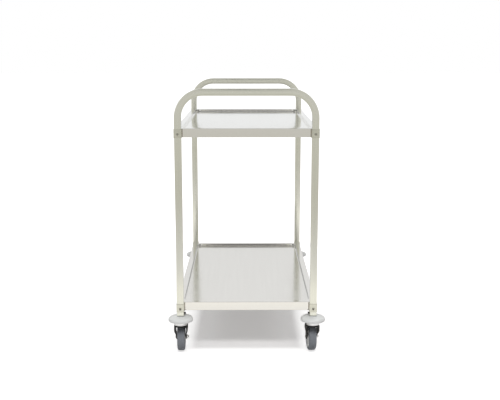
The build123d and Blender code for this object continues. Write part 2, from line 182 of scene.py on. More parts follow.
def make_piece(bm, name, material, slot, body, *nodes):
    """Turn a finished bmesh into a piece that rides on its body and stands for its nodes."""
    for face in bm.faces:
        face.smooth = True
    for edge in bm.edges:
        if edge.is_manifold and edge.calc_face_angle() > crease_angle:
            edge.smooth = False
    mesh = bpy.data.meshes.new(name)
    bm.to_mesh(mesh)
    bm.free()
    mesh.materials.append(material)
    piece = bpy.data.objects.new(name, mesh)
    bpy.context.scene.collection.objects.link(piece)
    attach(piece, body)
    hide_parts(*nodes)
    return piece


def thicken(piece, wall):
    """Give a sheet its wall, inwards from the outer face."""
    skin = piece.modifiers.new("wall", "SOLIDIFY")
    skin.thickness = wall
    skin.offset = -1.0
    skin.use_even_offset = True


def keep_flats_flat(piece):
    """Shade broad faces as the flats they are, with the bends taking the turn."""
    shading = piece.modifiers.new("flats", "WEIGHTED_NORMAL")
    shading.weight = flat_weight
    shading.keep_sharp = True


def round_off(bm, geom, offset, segments, affect="EDGES", clamp=False):
    """Round edges, or the corners of a flat outline."""
    bmesh.ops.bevel(
        bm,
        geom=geom,
        offset=offset,
        segments=segments,
        profile=0.5,
        affect=affect,
        material=-1,
        clamp_overlap=clamp,
    )


def rounded_ring(bm, centre, half_x, half_y, corner, steps, side=0):
    """A level ring of edges with its corners rounded, all four or the two on one side in Y."""
    shape = Matrix.Translation(centre) @ Matrix.Diagonal((half_x, half_y, 1, 1))
    verts = bmesh.ops.create_grid(bm, x_segments=1, y_segments=1, size=1.0, matrix=shape)["verts"]
    rounded = [vert for vert in verts if (vert.co.y - centre.y) * side >= 0]
    round_off(bm, rounded, corner, steps, "VERTICES")
    bmesh.ops.delete(bm, geom=bm.faces[:], context="FACES_ONLY")


def edges_among(items):
    """The edges in what an operator made."""
    return [item for item in items if isinstance(item, bmesh.types.BMEdge)]


def pull(bm, ring, travel):
    """Draw a ring of edges out straight, and give back the ring at its far end."""
    made = bmesh.ops.extrude_edge_only(bm, edges=ring)["geom"]
    verts = [item for item in made if isinstance(item, bmesh.types.BMVert)]
    bmesh.ops.translate(bm, vec=travel, verts=verts)
    return edges_among(made)


def bend(bm, ring, centre):
    """Carry a ring of edges round a quarter turn about a line along Y."""
    verts = list({vert for edge in ring for vert in edge.verts})
    made = bmesh.ops.spin(
        bm,
        geom=verts + ring,
        cent=centre,
        axis=(0, 1, 0),
        angle=math.pi / 2,
        steps=bend_steps,
        use_merge=False,
        use_duplicate=False,
    )
    return edges_among(made["geom_last"])


def bent_tube(node):
    """The inverted U of tube, with its distance along the tube kept for the grain."""
    low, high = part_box(node)
    tube = high.y - low.y
    foot = Vector((low.x + tube / 2, (low.y + high.y) / 2, low.z))
    bend_z = high.z - bend_outer
    bend_x = high.x - bend_outer
    radius = bend_outer - tube / 2
    bm = bmesh.new()
    rounded_ring(bm, foot, tube / 2, tube / 2, tube_corner, tube_corner_steps)
    flats = [edge for edge in bm.edges if edge.calc_length() > tube / 2]
    bmesh.ops.subdivide_edges(bm, edges=flats, cuts=flat_cuts)
    edge_of_flat = tube / 2 - tube_corner
    near_face = edge_of_flat + tube_corner * 0.9
    for vert in bm.verts:
        for axis, across in ((0, 1), (1, 0)):
            reach = vert.co[axis] - foot[axis]
            share = (vert.co[across] - foot[across]) / edge_of_flat
            if abs(reach) > near_face:
                vert.co[axis] -= math.copysign(tube_crown * min(1, share * share), reach)
    ring = pull(bm, bm.edges[:], (0, 0, bend_z - low.z))
    ring = bend(bm, ring, (-bend_x, foot.y, bend_z))
    ring = pull(bm, ring, (2 * bend_x, 0, 0))
    ring = bend(bm, ring, (bend_x, foot.y, bend_z))
    pull(bm, ring, (0, 0, low.z - bend_z))
    bmesh.ops.recalc_face_normals(bm, faces=bm.faces[:])
    grain = bm.verts.layers.float_vector.new("grain")
    for vert in bm.verts:
        out = abs(vert.co.x)
        up = vert.co.z
        if up <= bend_z:
            along, depth = up, out - bend_x - radius
        elif out > bend_x:
            angle = math.atan2(up - bend_z, out - bend_x)
            along, depth = bend_z + radius * angle, math.hypot(up - bend_z, out - bend_x) - radius
        else:
            along, depth = bend_z + radius * math.pi / 2 + bend_x - out, up - bend_z - radius
        vert[grain] = (along, depth, vert.co.y)
    return bm


frame_satin = grained_steel(
    "satin_tube", satin_light, satin_dark, clean=0.15, marked=0.21, depth=satin_depth, follows="grain"
)
for end in ("front", "rear"):
    node = f"{end}_end_frame"
    piece = make_piece(bent_tube(node), f"{end}_tube", frame_satin, "satin_steel", "cart", node)
    thicken(piece, tube_wall)
    keep_flats_flat(piece)

# Trays. Each is one stainless sheet, polished bright, pressed to a shallow well with rounded
# corners; the flat rim is turned down to a skirt that is hemmed inwards underneath.
tray_sheet = 0.001
tray_corner = 0.002
tray_corner_steps = 8
fold_steps = 5
rim_width = 0.022
rim_edge = 0.0009
rim_lip = 0.0012
well_depth = 0.0095
well_corner = 0.024
well_floor = 0.004
hem_width = 0.008
same_place = 1e-6
rim_use = 0.6
fresh_clean = 0.03
fresh_marked = 0.05
polished_depth = 0.02
wave_height = 0.002
deck_dulling = {"upper": (0.09, 0.13), "lower": (0.14, 0.20)}
polished_light = (0.86, 0.85, 0.83, 1.0)
polished_dark = (0.83, 0.82, 0.80, 1.0)


def fold_on(bm, ring, last, fold):
    """Draw a level ring with rounded corners on to the next fold of (half x, half y, z, corner)."""
    made = pull(bm, ring, (0, 0, 0))
    for vert in {vert for edge in made for vert in edge.verts}:
        for axis in (0, 1):
            arc = (abs(vert.co[axis]) - last[axis]) / last[3] + 1
            vert.co[axis] = math.copysign(fold[axis] + (arc - 1) * fold[3], vert.co[axis])
        vert.co.z = fold[2]
    return made


def pressed_tray(node):
    """Hem, skirt, rim, well wall and deck as one sheet, its folds rounded."""
    low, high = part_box(node)
    deck = high.z - well_depth
    folds = [
        (high.x - inset, high.y - inset, z, corner)
        for inset, z, corner in (
            (hem_width, low.z, tray_corner),
            (0, low.z, tray_corner),
            (0, high.z, tray_corner),
            (rim_width, high.z, well_corner),
            (rim_width, deck, well_corner),
        )
    ]
    bm = bmesh.new()
    half_x, half_y, foot, corner = folds[0]
    rounded_ring(bm, Vector((0, 0, foot)), half_x, half_y, corner, tray_corner_steps)
    rings = [bm.edges[:]]
    for last, fold in zip(folds, folds[1:]):
        rings.append(fold_on(bm, rings[-1], last, fold))
    bmesh.ops.contextual_create(bm, geom=rings[-1])
    bmesh.ops.recalc_face_normals(bm, faces=bm.faces[:])
    for ring, rounding in zip(rings[1:], (rim_edge, rim_edge, rim_lip, well_floor)):
        round_off(bm, ring, rounding, fold_steps)
    centre = Vector((0, 0, deck))
    middle = min(bm.faces, key=lambda face: (face.calc_center_median() - centre).length)
    if middle.normal.z < 0:
        bmesh.ops.reverse_faces(bm, faces=bm.faces[:])
    used = bm.verts.layers.float.new("used")
    for vert in bm.verts:
        if vert.co.z > high.z - same_place:
            vert[used] = rim_use
    for vert in middle.verts:
        vert[used] = 1.0
    return bm


def polished_sheet(name, deck_clean, deck_marked):
    """Bright rolled sheet: a faint wave from the press, and a deck dulled by use and wiping."""
    material, tree, shader, place = new_material(name)
    rolled = add_node(tree, "Mapping", {"Vector": place, "Rotation": (0, 0, math.pi / 2)})
    marks = add_node(tree, "Group", {"Vector": rolled.outputs["Vector"]}, node_tree=linished).outputs
    used = add_node(tree, "Attribute", attribute_name="used").outputs["Fac"]
    clean, marked = (
        add_node(tree, "MapRange", {"Value": used, "To Min": fresh, "To Max": worn}).outputs["Result"]
        for fresh, worn in ((fresh_clean, deck_clean), (fresh_marked, deck_marked))
    )
    wave = add_node(tree, "TexNoise", {"Vector": place, "Scale": 5.0, "Detail": 1.0})
    swell = relief(tree, polished_depth, wave_height, wave.outputs["Fac"])
    surface = {
        "Metallic": 1.0,
        "Base Color": mix_colours(tree, marks["Tone"], polished_dark, polished_light),
        "Roughness": wiped(tree, place, clean, marked),
        "Normal": relief(tree, polished_depth, grain_height, marks["Height"], Normal=swell),
    }
    fill(tree, shader, surface)
    return material


for tier, dulling in deck_dulling.items():
    node = f"{tier}_tray"
    tray_polish = polished_sheet(f"polished_{tier}_tray", *dulling)
    piece = make_piece(pressed_tray(node), f"{tier}_pan", tray_polish, "polished_steel", "cart", node)
    thicken(piece, tray_sheet)
    keep_flats_flat(piece)

# Stiffeners. Two folded hat sections of mill-finish sheet are spot-welded across the underside
# of each deck to keep it from drumming.
tiers = ("upper", "lower")
mill_light = (0.62, 0.62, 0.60, 1.0)
mill_dark = (0.50, 0.50, 0.48, 1.0)


def dress(node, material):
    """Give a node that keeps its own mesh its finish."""
    mesh = frame["nodes"][node].data
    mesh.materials.clear()
    mesh.materials.append(material)


mill_steel = grained_steel("mill_sheet", mill_light, mill_dark, clean=0.34, marked=0.48)
for tier in tiers:
    dress(f"{tier}_tray_stiffeners", mill_steel)

# Leg brackets. A strip of stainless sheet is folded to a U round the outer three faces of a leg
# at each tray corner and welded to the tray's end, so that one bolt clamps tray, leg and bracket.
bracket_sheet = 0.0012
bracket_corner = 0.0033
bracket_corner_steps = 5
bracket_edge = 0.0003
break_steps = 2
sharp_angle = math.radians(40)
bracket_light = (0.74, 0.74, 0.66, 1.0)
bracket_dark = (0.65, 0.65, 0.57, 1.0)
corners = ("front_left", "front_right", "rear_left", "rear_right")


def ease_edges(piece, width):
    """Break a piece's sharp edges."""
    easing = piece.modifiers.new("eased_edges", "BEVEL")
    easing.width = width
    easing.segments = break_steps
    easing.limit_method = "ANGLE"
    easing.angle_limit = sharp_angle
    easing.harden_normals = True


def folded_bracket(node):
    """The outer face of the U, open towards the tray."""
    low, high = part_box(node)
    half = (high.x - low.x) / 2
    side = math.copysign(1, low.y)
    tray_end = min(low.y, high.y, key=abs)
    face = max(low.y, high.y, key=abs)
    middle = Vector((low.x + half, face - side * half, low.z))
    bm = bmesh.new()
    rounded_ring(bm, middle, half, half, bracket_corner, bracket_corner_steps, side)
    bmesh.ops.bisect_plane(
        bm,
        geom=bm.verts[:] + bm.edges[:],
        plane_co=(0, tray_end, 0),
        plane_no=(0, -side, 0),
        clear_outer=True,
    )
    pull(bm, bm.edges[:], (0, 0, high.z - low.z))
    for wall in bm.faces:
        wall.normal_update()
        if wall.normal.dot(wall.calc_center_median() - middle) < 0:
            wall.normal_flip()
    grain = bm.verts.layers.float_vector.new("grain")
    for vert in bm.verts:
        vert[grain] = (vert.co.x + vert.co.y, vert.co.z, 0)
    return bm


bracket_satin = grained_steel(
    "satin_bracket",
    bracket_light,
    bracket_dark,
    clean=0.26,
    marked=0.38,
    depth=satin_depth,
    follows="grain",
)
for tier in tiers:
    for corner in corners:
        node = f"{tier}_bracket_{corner}"
        name = f"{tier}_leg_clip_{corner}"
        piece = make_piece(folded_bracket(node), name, bracket_satin, "bracket_steel", "cart", node)
        thicken(piece, bracket_sheet)
        ease_edges(piece, bracket_edge)

# Gap shade beads. A short rippled rod runs down the corner between each bracket's inner flange
# and the tray's end, coloured straw to dark brown as painted shade for the shadowed gap there.
bead_radius = 0.0018
bead_ripple = 0.0002
bead_pitch = 0.0016
bead_margin = 0.002
bead_steps = 12
arc_step = 0.0006
arc_steps_most = 6
gap_shade_light = (0.30, 0.22, 0.13, 1.0)
gap_shade_dark = (0.13, 0.095, 0.075, 1.0)


def hoop_edges(bm, before, base, line, along, radius):
    """The edges of one circle of a turned shape."""

    def on_hoop(vert):
        reach = vert.co - base
        height = reach.dot(line)
        off_radius = (reach - line * height).length - radius
        return abs(height - along) < same_place and abs(off_radius) < same_place

    return [
        edge
        for edge in bm.edges
        if edge.verts[0] not in before and on_hoop(edge.verts[0]) and on_hoop(edge.verts[1])
    ]


def turned(bm, centre, axis, outline, steps):
    """Spin an outline of (along, radius, rounding) points about a line, and round its corners."""
    line = Vector(axis).normalized()
    base = Vector(centre)
    arm = line.orthogonal().normalized()
    before = set(bm.verts)
    verts = [bm.verts.new(base + line * along + arm * radius) for along, radius, _ in outline]
    edges = [bm.edges.new(pair) for pair in zip(verts, verts[1:])]
    bmesh.ops.spin(
        bm, geom=verts + edges, cent=base, axis=line, angle=2 * math.pi, steps=steps, use_merge=True
    )
    fresh = [vert for vert in bm.verts if vert not in before]
    bmesh.ops.remove_doubles(bm, verts=fresh, dist=same_place)
    fresh = [vert for vert in bm.verts if vert not in before]
    faces = list({face for vert in fresh for face in vert.link_faces})
    bmesh.ops.recalc_face_normals(bm, faces=faces)
    for along, radius, rounding in outline:
        if rounding:
            hoop = hoop_edges(bm, before, base, line, along, radius)
            arc_steps = max(break_steps, min(arc_steps_most, round(rounding / arc_step)))
            round_off(bm, hoop, rounding, arc_steps, clamp=True)


def gap_shade_beads(nodes):
    """One rippled rod in the corner between each bracket and its tray, painted shade for the gap."""
    bm = bmesh.new()
    for node in nodes:
        low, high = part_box(node)
        corner_x = min(low.x, high.x, key=abs)
        tray_end = min(low.y, high.y, key=abs)
        length = high.z - low.z - 2 * bead_margin
        ripples = round(length / bead_pitch)
        outline = [(0, 0, 0)]
        for count in range(ripples + 1):
            outline.append((length * count / ripples, bead_radius - bead_ripple * (count % 2), 0))
        outline.append((length, 0, 0))
        turned(bm, (corner_x, tray_end, low.z + bead_margin), (0, 0, 1), outline, bead_steps)
    return bm


# Straw to dark brown, painted shade for the shadowed gap between bracket and tray end
gap_shade_paint = grained_steel("gap_shade_paint", gap_shade_light, gap_shade_dark, clean=0.38, marked=0.55)
brackets = [f"{tier}_bracket_{corner}" for tier in tiers for corner in corners]
make_piece(gap_shade_beads(brackets), "gap_shade_beads", gap_shade_paint, "bracket_steel", "cart")

# Tray bolts. Eight M6 button-head bolts of plain stainless go through bracket, leg and tray end;
# each head is turned, with a hexagon socket pressed into its dome; the socket's inside is painted shade.
bolt_radius = 0.003
bolt_length = 0.0343
bolt_tip_round = 0.0005
bolt_head_radius = 0.0052
bolt_head_height = 0.0032
bolt_seat_round = 0.0003
bolt_band = 0.0012
bolt_band_round = 0.0008
bolt_crown = 0.0034
bolt_crown_round = 0.0010
bolt_key_rim = 0.0027
bolt_key_across = 0.004
bolt_key_depth = 0.002
turned_steps = 24
hexagon_sides = 6
bolt_light = (0.74, 0.73, 0.66, 1.0)
bolt_dark = (0.62, 0.61, 0.54, 1.0)
socket_shade_light = (0.50, 0.47, 0.41, 1.0)
socket_shade_dark = (0.36, 0.33, 0.28, 1.0)


def facing(axis):
    """The turn that takes Z to an axis."""
    return Vector(axis).to_track_quat("Z", "Y").to_matrix().to_4x4()


def sided_ring(bm, centre, axis, across, sides):
    """A ring of edges with flat sides, divided so that it meets a turned circle edge for edge."""
    before = set(bm.edges)
    bmesh.ops.create_circle(
        bm,
        cap_ends=False,
        segments=sides,
        radius=across / 2 / math.cos(math.pi / sides),
        matrix=Matrix.Translation(centre) @ facing(axis),
    )
    ring = [edge for edge in bm.edges if edge not in before]
    bmesh.ops.subdivide_edges(bm, edges=ring, cuts=turned_steps // sides - 1)
    return [edge for edge in bm.edges if edge not in before]


def keyed_turning(bm, seat, axis, outline, across, depth):
    """Turn a screw whose outline ends at the top of its head, and sink a hexagon socket there."""
    before = set(bm.verts)
    turned(bm, seat, axis, outline, turned_steps)
    height, radius, _ = outline[-1]
    rim = hoop_edges(bm, before, seat, axis, height, radius)
    hexagon = sided_ring(bm, seat + axis * height, axis, across, hexagon_sides)
    bmesh.ops.bridge_loops(bm, edges=rim + hexagon)
    bottom = pull(bm, hexagon, axis * -depth)
    # The socket's walls and floor take the second material, a darker grey that is painted shade in the
    # recess
    bmesh.ops.contextual_create(bm, geom=bottom)
    for face in {face for edge in bottom for face in edge.link_faces}:
        face.material_index = 1
    bmesh.ops.recalc_face_normals(bm, faces=bm.faces[:])


def button_bolts(node):
    """All eight bolts, placed from the corners of the node's box."""
    low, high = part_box(node)
    outline = (
        (-bolt_length, 0, 0),
        (-bolt_length, bolt_radius, bolt_tip_round),
        (0, bolt_radius, 0),
        (0, bolt_head_radius, bolt_seat_round),
        (bolt_band, bolt_head_radius, bolt_band_round),
        (bolt_head_height, bolt_crown, bolt_crown_round),
        (bolt_head_height, bolt_key_rim, 0),
    )
    bm = bmesh.new()
    for x in (low.x + bolt_head_radius, high.x - bolt_head_radius):
        for side in (-1, 1):
            for z in (low.z + bolt_head_radius, high.z - bolt_head_radius):
                seat = Vector((x, side * (high.y - bolt_head_height), z))
                axis = Vector((0, side, 0))
                keyed_turning(bm, seat, axis, outline, bolt_key_across, bolt_key_depth)
    return bm


bolt_steel = grained_steel("bolt_stainless", bolt_light, bolt_dark, clean=0.22, marked=0.34)
# A darker grey for the insides of key sockets, painted shade in the recess
key_socket_shade = grained_steel("key_socket_shade", socket_shade_light, socket_shade_dark, clean=0.5, marked=0.65)
node = "tray_bolts"
piece = make_piece(button_bolts(node), "button_bolts", bolt_steel, "bolt_steel", "cart", node)
piece.data.materials.append(key_socket_shade)

# Tray nuts. The bolts' hexagon nuts sit out of sight inside the folded ends of the trays, in the
# same plain stainless.
dress("tray_nuts", bolt_steel)

# Stem sockets. A black moulded plug is driven into each leg end and bored for the caster's stem.
# A thin black lip round each leg's foot, on the bumper, is painted shade for the shadow line there.
lip_height = 0.0011
lip_proud = 0.0002
peel_height = 0.0002
socket_black = (0.030, 0.030, 0.032, 1.0)


def combine(tree, kind, *values):
    """Join values by one step of arithmetic."""
    return add_node(tree, "Math", dict(enumerate(values)), operation=kind).outputs[0]


# The slight mottle and orange peel of mouldings, rubber and paint
moulded, inlet, outlet = new_group(
    "moulded",
    {"Vector": "Vector", "Color": "Color", "Scale": "Float", "Contrast": "Float"},
    {"Color": "Color", "Height": "Float"},
)
mottle = add_node(moulded, "TexNoise", {"Vector": inlet["Vector"], "Scale": 38.0, "Detail": 4.0})
lift = combine(moulded, "SUBTRACT", mottle.outputs["Fac"], 0.5)
shade = combine(moulded, "MULTIPLY_ADD", lift, inlet["Contrast"], 1.0)
tinted = add_node(moulded, "VectorMath", {0: inlet["Color"], "Scale": shade}, operation="SCALE")
peel = add_node(
    moulded, "TexNoise", {"Vector": inlet["Vector"], "Scale": inlet["Scale"], "Detail": 2.0}
)
fill(moulded, outlet, {"Color": tinted.outputs[0], "Height": peel.outputs["Fac"]})


def moulding(name, colour, peel_scale, contrast, clean, marked, strength, specular=0.5):
    """Plastic, rubber or paint with a fine surface texture and a little handling."""
    material, tree, shader, place = new_material(name)
    sockets = {"Vector": place, "Color": colour, "Scale": peel_scale, "Contrast": contrast}
    skin = add_node(tree, "Group", sockets, node_tree=moulded).outputs
    surface = {
        "Specular IOR Level": specular,
        "Base Color": skin["Color"],
        "Roughness": wiped(tree, place, clean, marked),
        "Normal": relief(tree, strength, peel_height, skin["Height"]),
    }
    fill(tree, shader, surface)
    return material


def block(centre, sizes):
    """The place and the three sizes of a block, for a cube of one metre."""
    return Matrix.Translation(centre) @ Matrix.Diagonal((*sizes, 1))


def edges_of(verts):
    """The edges that meet at these corners."""
    return list({edge for vert in verts for edge in vert.link_edges})


def shadow_line_lips():
    """A thin black square lip round each leg's end on the bumper, painted shade for the contact shadow
    line.
    """
    bm = bmesh.new()
    for end in ("front", "rear"):
        low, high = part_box(f"{end}_end_frame")
        tube = high.y - low.y
        width = tube + 2 * lip_proud
        for x in (low.x + tube / 2, high.x - tube / 2):
            seat = (x, (low.y + high.y) / 2, low.z + lip_height / 2)
            shape = block(seat, (width, width, lip_height))
            verts = bmesh.ops.create_cube(bm, size=1.0, matrix=shape)["verts"]
            upright = [
                edge
                for edge in edges_of(verts)
                if abs(edge.verts[0].co.z - edge.verts[1].co.z) > lip_height / 2
            ]
            round_off(bm, upright, tube_corner, tube_corner_steps)
    return bm


socket_plastic = moulding(
    "socket_plastic", socket_black, peel_scale=900, contrast=0.3, clean=0.45, marked=0.6, strength=0.15
)
dress("stem_sockets", socket_plastic)
# The black lips are painted shade: the dark line where each leg meets its bumper
make_piece(shadow_line_lips(), "shadow_line_lips", socket_plastic, "socket_plastic", "cart")

# Stem lock screws. A blackened cap screw through the inner wall of each leg pinches the caster's
# stem in its socket; the plain round head takes a hexagon key.
lock_radius = 0.002
lock_reach = 0.0068
lock_tip_round = 0.0004
lock_head_radius = 0.0035
lock_head_height = 0.006
lock_seat_round = 0.0003
lock_edge_round = 0.0007
lock_key_rim = 0.0022
lock_key_across = 0.003
lock_key_depth = 0.003
blackened_light = (0.060, 0.060, 0.058, 1.0)
blackened_dark = (0.035, 0.035, 0.034, 1.0)


def cap_screws(node):
    """The four screws, heads towards the middle of the trolley."""
    low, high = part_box(node)
    outline = (
        (-lock_reach, 0, 0),
        (-lock_reach, lock_radius, lock_tip_round),
        (0, lock_radius, 0),
        (0, lock_head_radius, lock_seat_round),
        (lock_head_height, lock_head_radius, lock_edge_round),
        (lock_head_height, lock_key_rim, 0),
    )
    bm = bmesh.new()
    for hand in (-1, 1):
        for y in (low.y + lock_head_radius, high.y - lock_head_radius):
            seat = Vector((hand * (high.x - lock_reach), y, (low.z + high.z) / 2))
            axis = Vector((-hand, 0, 0))
            keyed_turning(bm, seat, axis, outline, lock_key_across, lock_key_depth)
    return bm


blackened = grained_steel(
    "blackened_steel", blackened_light, blackened_dark, clean=0.32, marked=0.46
)
node = "stem_lock_screws"
piece = make_piece(cap_screws(node), "cap_screws", blackened, "black_screw", "cart", node)
piece.data.materials.append(key_socket_shade)

# Bumper discs. A light grey domed moulding is trapped between each leg and its caster, so that
# the trolley meets walls and doors with plastic instead of its frame. It is hollow underneath,
# with a hub round the stem and eight ribs.
bumper_hole = 0.0056
bumper_seat = 0.0192
bumper_seat_round = 0.0006
bumper_lift = 0.001
bumper_band = 0.010
bumper_band_round = 0.004
bumper_bulge = 0.0022
bumper_bulge_round = 0.009
bumper_wall = 0.003
bumper_foot_round = bumper_wall * 0.7
bumper_break = 0.0004
bumper_hub_fillet = 0.0008
bumper_roof_fillet = 0.002
bumper_wall_fillet = 0.001
bumper_rib = 0.0025
bumper_slope = 0.41
bumper_ribs = 8
bumper_steps = 64
bumper_grey = (0.77, 0.78, 0.77, 1.0)


def bumper(node):
    """The hollow disc, turned from its section, with ribs from hub to rim."""
    low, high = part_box(node)
    radius = (high.x - low.x) / 2
    height = high.z - low.z
    middle = Vector(((low.x + high.x) / 2, (low.y + high.y) / 2, low.z))
    band_top = bumper_lift + bumper_band
    crown = (radius + bumper_seat) / 2
    hub = bumper_hole + bumper_wall
    inside = radius - bumper_wall
    roof = height - bumper_wall
    outline = (
        (height, bumper_hole, 0),
        (0, bumper_hole, 0),
        (0, hub, bumper_break),
        (roof, hub, bumper_hub_fillet),
        (roof, bumper_seat, bumper_roof_fillet),
        (band_top - bumper_wall, inside, bumper_wall_fillet),
        (bumper_lift, inside, bumper_break),
        (bumper_lift, radius, bumper_foot_round),
        (band_top, radius, bumper_band_round),
        ((band_top + height) / 2 + bumper_bulge, crown, bumper_bulge_round),
        (height, bumper_seat, bumper_seat_round),
        (height, bumper_hole, 0),
    )
    bm = bmesh.new()
    rib_sizes = (inside - hub + bumper_wall / 2, bumper_rib, roof)
    shape = block(((hub + inside) / 2, 0, roof / 2), rib_sizes)
    bmesh.ops.create_cube(bm, size=1.0, matrix=shape)
    lengthwise = [
        edge for edge in bm.edges if abs(edge.verts[0].co.x - edge.verts[1].co.x) > bumper_rib
    ]
    bmesh.ops.subdivide_edges(bm, edges=lengthwise, cuts=1)
    for vert in bm.verts:
        if vert.co.z > roof / 2:
            vert.co.z = roof + bumper_wall / 2 - max(0, vert.co.x - bumper_seat) * bumper_slope
    bmesh.ops.translate(bm, vec=middle, verts=bm.verts[:])
    bmesh.ops.spin(
        bm,
        geom=bm.verts[:] + bm.edges[:] + bm.faces[:],
        cent=middle,
        axis=(0, 0, 1),
        angle=2 * math.pi * (bumper_ribs - 1) / bumper_ribs,
        steps=bumper_ribs - 1,
        use_duplicate=True,
    )
    turned(bm, middle, (0, 0, 1), outline, bumper_steps)
    return bm


bumper_plastic = moulding(
    "bumper_plastic", bumper_grey, peel_scale=1400, contrast=0.06, clean=0.36, marked=0.50, strength=0.05
)
for corner in corners:
    node = f"bumper_disc_{corner}"
    make_piece(bumper(node), f"bumper_{corner}", bumper_plastic, "bumper_plastic", "cart", node)

# Caster stems. Stem, bearing cup and kingpin are one bright zinc-plated turning; the cup's skirt
# covers the ball race and the kingpin is riveted over under the fork's crown.
stem_radius = 0.0055
stem_tip_round = 0.0008
cup_radius = 0.024
cup_wall = 0.0025
cup_roof = 0.004
cup_skirt = 0.0131
cup_shoulder = 0.0015
cup_lip_round = 0.0006
cup_groove = ((0.55, 0), (0.60, 0.0007), (0.70, 0.0007), (0.75, 0))
cup_steps = 48
kingpin_radius = 0.005
rivet_radius = 0.009
rivet_height = 0.004
rivet_break = 0.0004
rivet_round = 0.0018
zinc_light = (0.96, 0.97, 0.98, 1.0)
zinc_dark = (0.90, 0.91, 0.93, 1.0)


def cup_and_stem(node):
    """Everything above and below the cup's roof, turned from one section."""
    low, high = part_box(node)
    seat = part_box(node.replace("caster_stem", "bumper_disc"))[0].z
    stem_length = high.z - seat
    rivet_top = low.z + rivet_height - seat
    groove = [(-cup_skirt * share, cup_radius - depth, 0) for share, depth in cup_groove]
    outline = (
        (stem_length, 0, 0),
        (stem_length, stem_radius, stem_tip_round),
        (0, stem_radius, 0),
        (0, cup_radius, cup_shoulder),
        *groove,
        (-cup_skirt, cup_radius, cup_lip_round),
        (-cup_skirt, cup_radius - cup_wall, cup_lip_round),
        (-cup_roof, cup_radius - cup_wall, cup_shoulder),
        (-cup_roof, kingpin_radius, 0),
        (rivet_top, kingpin_radius, 0),
        (rivet_top, rivet_radius, rivet_break),
        (rivet_top - rivet_height, rivet_radius, rivet_round),
        (rivet_top - rivet_height, 0, 0),
    )
    bm = bmesh.new()
    centre = ((low.x + high.x) / 2, (low.y + high.y) / 2, seat)
    turned(bm, centre, (0, 0, 1), outline, cup_steps)
    bmesh.ops.recalc_face_normals(bm, faces=bm.faces[:])
    return bm


bright_zinc = grained_steel("bright_zinc", zinc_light, zinc_dark, clean=0.14, marked=0.24)
for corner in corners:
    node = f"caster_stem_{corner}"
    make_piece(cup_and_stem(node), f"stem_and_cup_{corner}", bright_zinc, "bright_zinc", "cart", node)

# Swivel bearings. A caged ball race turns between cup and crown, greased steel, almost out of
# sight inside the cup.
race_light = (0.50, 0.50, 0.49, 1.0)
race_dark = (0.38, 0.38, 0.37, 1.0)
race_steel = grained_steel("race_steel", race_light, race_dark, clean=0.18, marked=0.34)
for corner in corners:
    dress(f"swivel_bearing_{corner}", race_steel)

# Forks. Each is a pressed steel yoke, painted black: a round crown under the cup and two arms
# that lean back and close in on the wheel towards the axle.
fork_edge = 0.0007
flat_angle = math.radians(1.5)
fork_black = (0.010, 0.010, 0.011, 1.0)


def whole_copy(node):
    """A copy of a node's mesh with its loose triangles joined to whole faces."""
    bm = bmesh.new()
    bm.from_mesh(frame["nodes"][node].data)
    bmesh.ops.remove_doubles(bm, verts=bm.verts[:], dist=same_place)
    bmesh.ops.dissolve_limit(
        bm,
        angle_limit=flat_angle,
        verts=bm.verts[:],
        edges=bm.edges[:],
        use_dissolve_boundaries=False,
    )
    return bm


fork_paint = moulding(
    "fork_paint",
    fork_black,
    peel_scale=700,
    contrast=0.35,
    clean=0.34,
    marked=0.48,
    strength=0.10,
    specular=0.25,
)
for corner in corners:
    node = f"fork_{corner}"
    body = f"swivel_{corner}"
    piece = make_piece(whole_copy(node), f"yoke_{corner}", fork_paint, "fork_black", body, node)
    ease_edges(piece, fork_edge)

# Axle bolts. A zinc-plated M8 bolt clamps the fork's arms on the sleeve; its low domed head takes
# a hexagon key, and its thread shows past the nut.
axle_radius = 0.004
axle_reach = 0.0085
axle_break = 0.0003
axle_head_radius = 0.007
axle_head_height = 0.003
axle_band = 0.0009
axle_band_round = 0.0006
axle_crown = 0.0046
axle_crown_round = 0.0012
axle_key_rim = 0.0034
axle_key_across = 0.005
axle_key_depth = 0.0018
thread_pitch = 0.00125
thread_depth = 0.0006
threads_shown = 3
foot_half_width = 0.0185
axle_light = (0.34, 0.34, 0.33, 1.0)
axle_dark = (0.24, 0.24, 0.23, 1.0)
joints = {joint["name"]: joint for joint in frame["joints"]}


def wheel_line(corner):
    """Middle of a wheel and the direction of its axle."""
    joint = joints[f"wheel_spin_{corner}"]
    return Vector(joint["pos_m"]), Vector(joint["axis"])


def axle(corner):
    """Head, shank and the last threads, turned about the wheel's axle."""
    middle, line = wheel_line(corner)
    end = -2 * foot_half_width - axle_reach
    root = axle_radius - thread_depth
    outline = [(end, 0, 0), (end, root, axle_break)]
    for turn in range(threads_shown):
        start = end + thread_depth + turn * thread_pitch
        outline += [(start, root, 0), (start + thread_depth, axle_radius, 0)]
    outline += [
        (0, axle_radius, 0),
        (0, axle_head_radius, axle_break),
        (axle_band, axle_head_radius, axle_band_round),
        (axle_head_height, axle_crown, axle_crown_round),
        (axle_head_height, axle_key_rim, 0),
    ]
    bm = bmesh.new()
    seat = middle - line * foot_half_width
    keyed_turning(bm, seat, -line, outline, axle_key_across, axle_key_depth)
    return bm


axle_zinc = grained_steel("axle_zinc", axle_light, axle_dark, clean=0.26, marked=0.40)
for corner in corners:
    node = f"axle_bolt_{corner}"
    body = f"swivel_{corner}"
    piece = make_piece(axle(corner), f"axle_{corner}", axle_zinc, "bright_zinc", body, node)
    piece.data.materials.append(key_socket_shade)

# Axle nuts. A zinc-plated hexagon nut with a collar for its locking ring, chamfered where the
# hexagon meets the faces.
nut_across = 0.013
nut_height = 0.0065
nut_chamfer = 0.0008
nut_play = 0.0001
nut_bore = 2 * axle_radius + nut_play
nut_seat = nut_across * 0.95
nut_hexagon = nut_height * 0.62
nut_collar = nut_across * 0.93
nut_top = nut_across * 0.82


